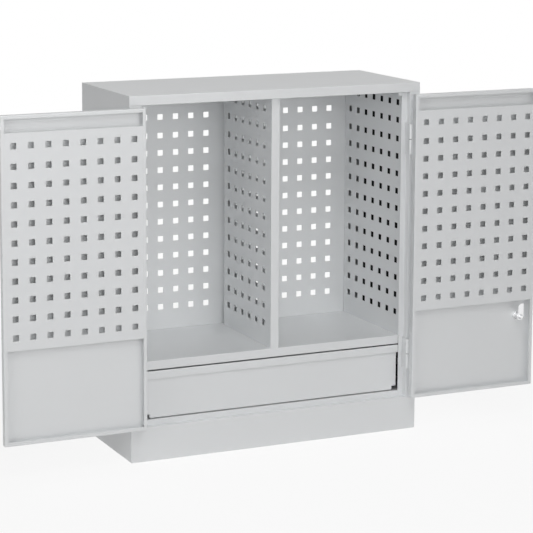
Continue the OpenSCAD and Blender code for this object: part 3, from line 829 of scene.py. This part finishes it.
class TOOLCABINET_OT_runners(bpy.types.Operator):
    """Rounds the runners, their brackets, rollers and axles"""
    bl_idname = "tool_cabinet.runners"
    bl_label = "Runners"

    def execute(self, context):
        for side in SIDES:
            for part in ("runner_bracket", "cabinet_runner", "drawer_runner"):
                dress(f"{side}_{part}", f"{side}_{part}_rolled", "zinc", solid=0.0003)
            for part in ("front_roller", "rear_roller"):
                dress(f"{side}_{part}", f"{side}_{part}_moulded", "nylon", solid=0.0006)
        for part in ("front_roller_axles", "rear_roller_axles"):
            dress(part, part + "_turned", "zinc", solid=0.0003)
        return {"FINISHED"}


# ---- Floor, light and camera ----

SEEN_BY = ("Is Camera Ray", "Is Glossy Ray", "Is Transmission Ray")


def mixed_by_ray(tree, seen, lit):
    """One shader for the camera, gloss and glass, and another for all other light."""
    path = tree.nodes.new("ShaderNodeLightPath").outputs
    share = path[SEEN_BY[0]]
    for ray in SEEN_BY[1:]:
        share = math_node(tree, "MAXIMUM", share, path[ray])
    return linked(tree, "ShaderNodeMixShader", _0=share, _1=lit, _2=seen).outputs[0]


AIM = (0, 0, 0.4)                               # the lamps look at the cabinet's middle
LAMPS = {                                       # place, width and height of each lamp
    "key": ((-1.30, -3.58, 1.64), (1.6, 1.4)),
    "high": ((-0.3, -2.68, 3.37), (2.0, 1.2)),
    "overhead": ((-0.29, -1.66, 4.03), (2.0, 1.2)),
    "centre": ((0.34, -3.90, 1.23), (1.4, 1.0)),
    "left": ((-3.43, -1.82, 1.37), (1.4, 1.0)),
    "right": ((3.4, 1.2, 0.6), (1.4, 0.7)),
    "rear": ((1.5, 3.1, 0.5), (1.8, 0.6)),
}


def area_lamp(name, place, target, size, power):
    """A soft rectangular lamp that looks at a point."""
    light = bpy.data.lights.new(name, "AREA")
    light.shape, light.size, light.size_y, light.energy = "RECTANGLE", size[0], size[1], power
    lamp = bpy.data.objects.new(name, light)
    lamp.location = place
    lamp.rotation_euler = (Vector(target) - Vector(place)).to_track_quat("-Z", "Y").to_euler()
    bpy.context.scene.collection.objects.link(lamp)
    return lamp


def white_floor():
    """A matt floor that looks white and keeps a faint shadow near the cabinet."""
    white = bpy.data.materials.new("white_floor")
    white.use_nodes = True
    tree = white.node_tree
    tree.nodes.remove(tree.nodes["Principled BSDF"])
    matt = linked(tree, "ShaderNodeBsdfDiffuse", Color=(0.9, 0.9, 0.9, 1)).outputs[0]
    bright = linked(tree, "ShaderNodeEmission", Color=(1, 1, 1, 1), Strength=1.0).outputs[0]
    shadow = linked(tree, "ShaderNodeMixShader", _0=0.9, _1=matt, _2=bright).outputs[0]
    point = tree.nodes.new("ShaderNodeTexCoord").outputs["Object"]
    reach = linked(tree, "ShaderNodeVectorMath", {"operation": "LENGTH"}, _0=point)
    far = linked(tree, "ShaderNodeMapRange", {"interpolation_type": "SMOOTHSTEP"},
                 Value=reach.outputs["Value"], From_Min=0.9, From_Max=2.2)
    seen = linked(tree, "ShaderNodeMixShader", _0=far.outputs[0], _1=shadow, _2=bright)
    out = mixed_by_ray(tree, seen.outputs[0], matt)
    tree.links.new(out, tree.nodes["Material Output"].inputs["Surface"])
    return white


def lay_floor(size):
    """The square floor, which isn't part of the cabinet."""
    bm = bmesh.new()
    bmesh.ops.create_grid(bm, x_segments=8, y_segments=8, size=size / 2)
    mesh = bpy.data.meshes.new("studio_floor")
    bm.to_mesh(mesh)
    bm.free()
    mesh.materials.append(white_floor())
    floor = bpy.data.objects.new("studio_floor", mesh)
    bpy.context.scene.collection.objects.link(floor)


def white_world():
    """A world that is seen white and gives no light of its own."""
    world = bpy.data.worlds.new("studio_world")
    world.use_nodes = True
    tree = world.node_tree
    tree.nodes.remove(tree.nodes["Background"])
    dark = linked(tree, "ShaderNodeBackground", Color=(1, 1, 1, 1), Strength=0.0)
    plain = linked(tree, "ShaderNodeBackground", Color=(1, 1, 1, 1), Strength=1.0)
    out = mixed_by_ray(tree, plain.outputs[0], dark.outputs[0])
    tree.links.new(out, tree.nodes["World Output"].inputs["Surface"])
    return world


def photo_camera(studio):
    """The camera at the photograph's place, turned by its yaw, pitch and roll."""
    camera = bpy.data.cameras.new("photo_camera")
    camera.lens, camera.sensor_width = studio.lens, 36.0
    camera.shift_x, camera.shift_y = studio.shift
    viewer = bpy.data.objects.new("photo_camera", camera)
    forward = Vector((sin(studio.yaw) * cos(studio.pitch), cos(studio.yaw) * cos(studio.pitch),
                      -sin(studio.pitch)))
    right = Vector((cos(studio.yaw), -sin(studio.yaw), 0))
    up = right.cross(forward)
    c, s = cos(studio.roll), sin(studio.roll)
    turned = Matrix((right * c + up * s, up * c - right * s, -forward)).transposed()
    viewer.matrix_world = Matrix.Translation(studio.camera_place) @ turned.to_4x4()
    bpy.context.scene.collection.objects.link(viewer)
    return viewer


class TOOLCABINET_OT_studio(bpy.types.Operator):
    """Lays the white floor, hangs the lamps and sets the camera"""
    bl_idname = "tool_cabinet.studio"
    bl_label = "Studio"

    def execute(self, context):
        scene, studio = context.scene, context.scene.cabinet_studio
        lay_floor(studio.floor_size)
        scene.world = white_world()
        for name, (place, size) in LAMPS.items():
            area_lamp(name + "_lamp", place, AIM, size, getattr(studio, name))
        scene.camera = photo_camera(studio)
        scene.view_settings.view_transform = "Standard"
        return {"FINISHED"}


# ---- Panel and registration ----

OPERATORS = (
    TOOLCABINET_OT_finishes, TOOLCABINET_OT_side_panels, TOOLCABINET_OT_top,
    TOOLCABINET_OT_plinth, TOOLCABINET_OT_shelf, TOOLCABINET_OT_perforated_walls,
    TOOLCABINET_OT_hinges, TOOLCABINET_OT_doors, TOOLCABINET_OT_lock, TOOLCABINET_OT_drawer,
    TOOLCABINET_OT_runners, TOOLCABINET_OT_studio,
)
SETTINGS = {"cabinet_sheet": SheetSizes, "cabinet_holes": HoleSizes,
            "cabinet_colours": FinishColours, "cabinet_studio": StudioSettings}


class TOOLCABINET_PT_sidebar(bpy.types.Panel):
    """Lists the cabinet's sizes, colours and pieces"""
    bl_idname = "TOOLCABINET_PT_sidebar"
    bl_label = "Tool cabinet"
    bl_space_type = "VIEW_3D"
    bl_region_type = "UI"
    bl_category = "Tool cabinet"

    def draw(self, context):
        for name, kind in SETTINGS.items():
            box = self.layout.box()
            box.label(text=kind.__doc__)
            for key in kind.__annotations__:
                box.prop(getattr(context.scene, name), key)
        for operator in OPERATORS:
            self.layout.operator(operator.bl_idname)


def register():
    for kind in (*SETTINGS.values(), *OPERATORS, TOOLCABINET_PT_sidebar):
        bpy.utils.register_class(kind)
    for name, kind in SETTINGS.items():
        setattr(bpy.types.Scene, name, PointerProperty(type=kind))


def unregister():
    for name in SETTINGS:
        delattr(bpy.types.Scene, name)
    for kind in (TOOLCABINET_PT_sidebar, *reversed(OPERATORS), *SETTINGS.values()):
        bpy.utils.unregister_class(kind)


def main():
    register()
    for operator in OPERATORS:
        step = operator.bl_idname.split(".")[1]
        getattr(bpy.ops.tool_cabinet, step)()


if __name__ == "__main__":
    main()
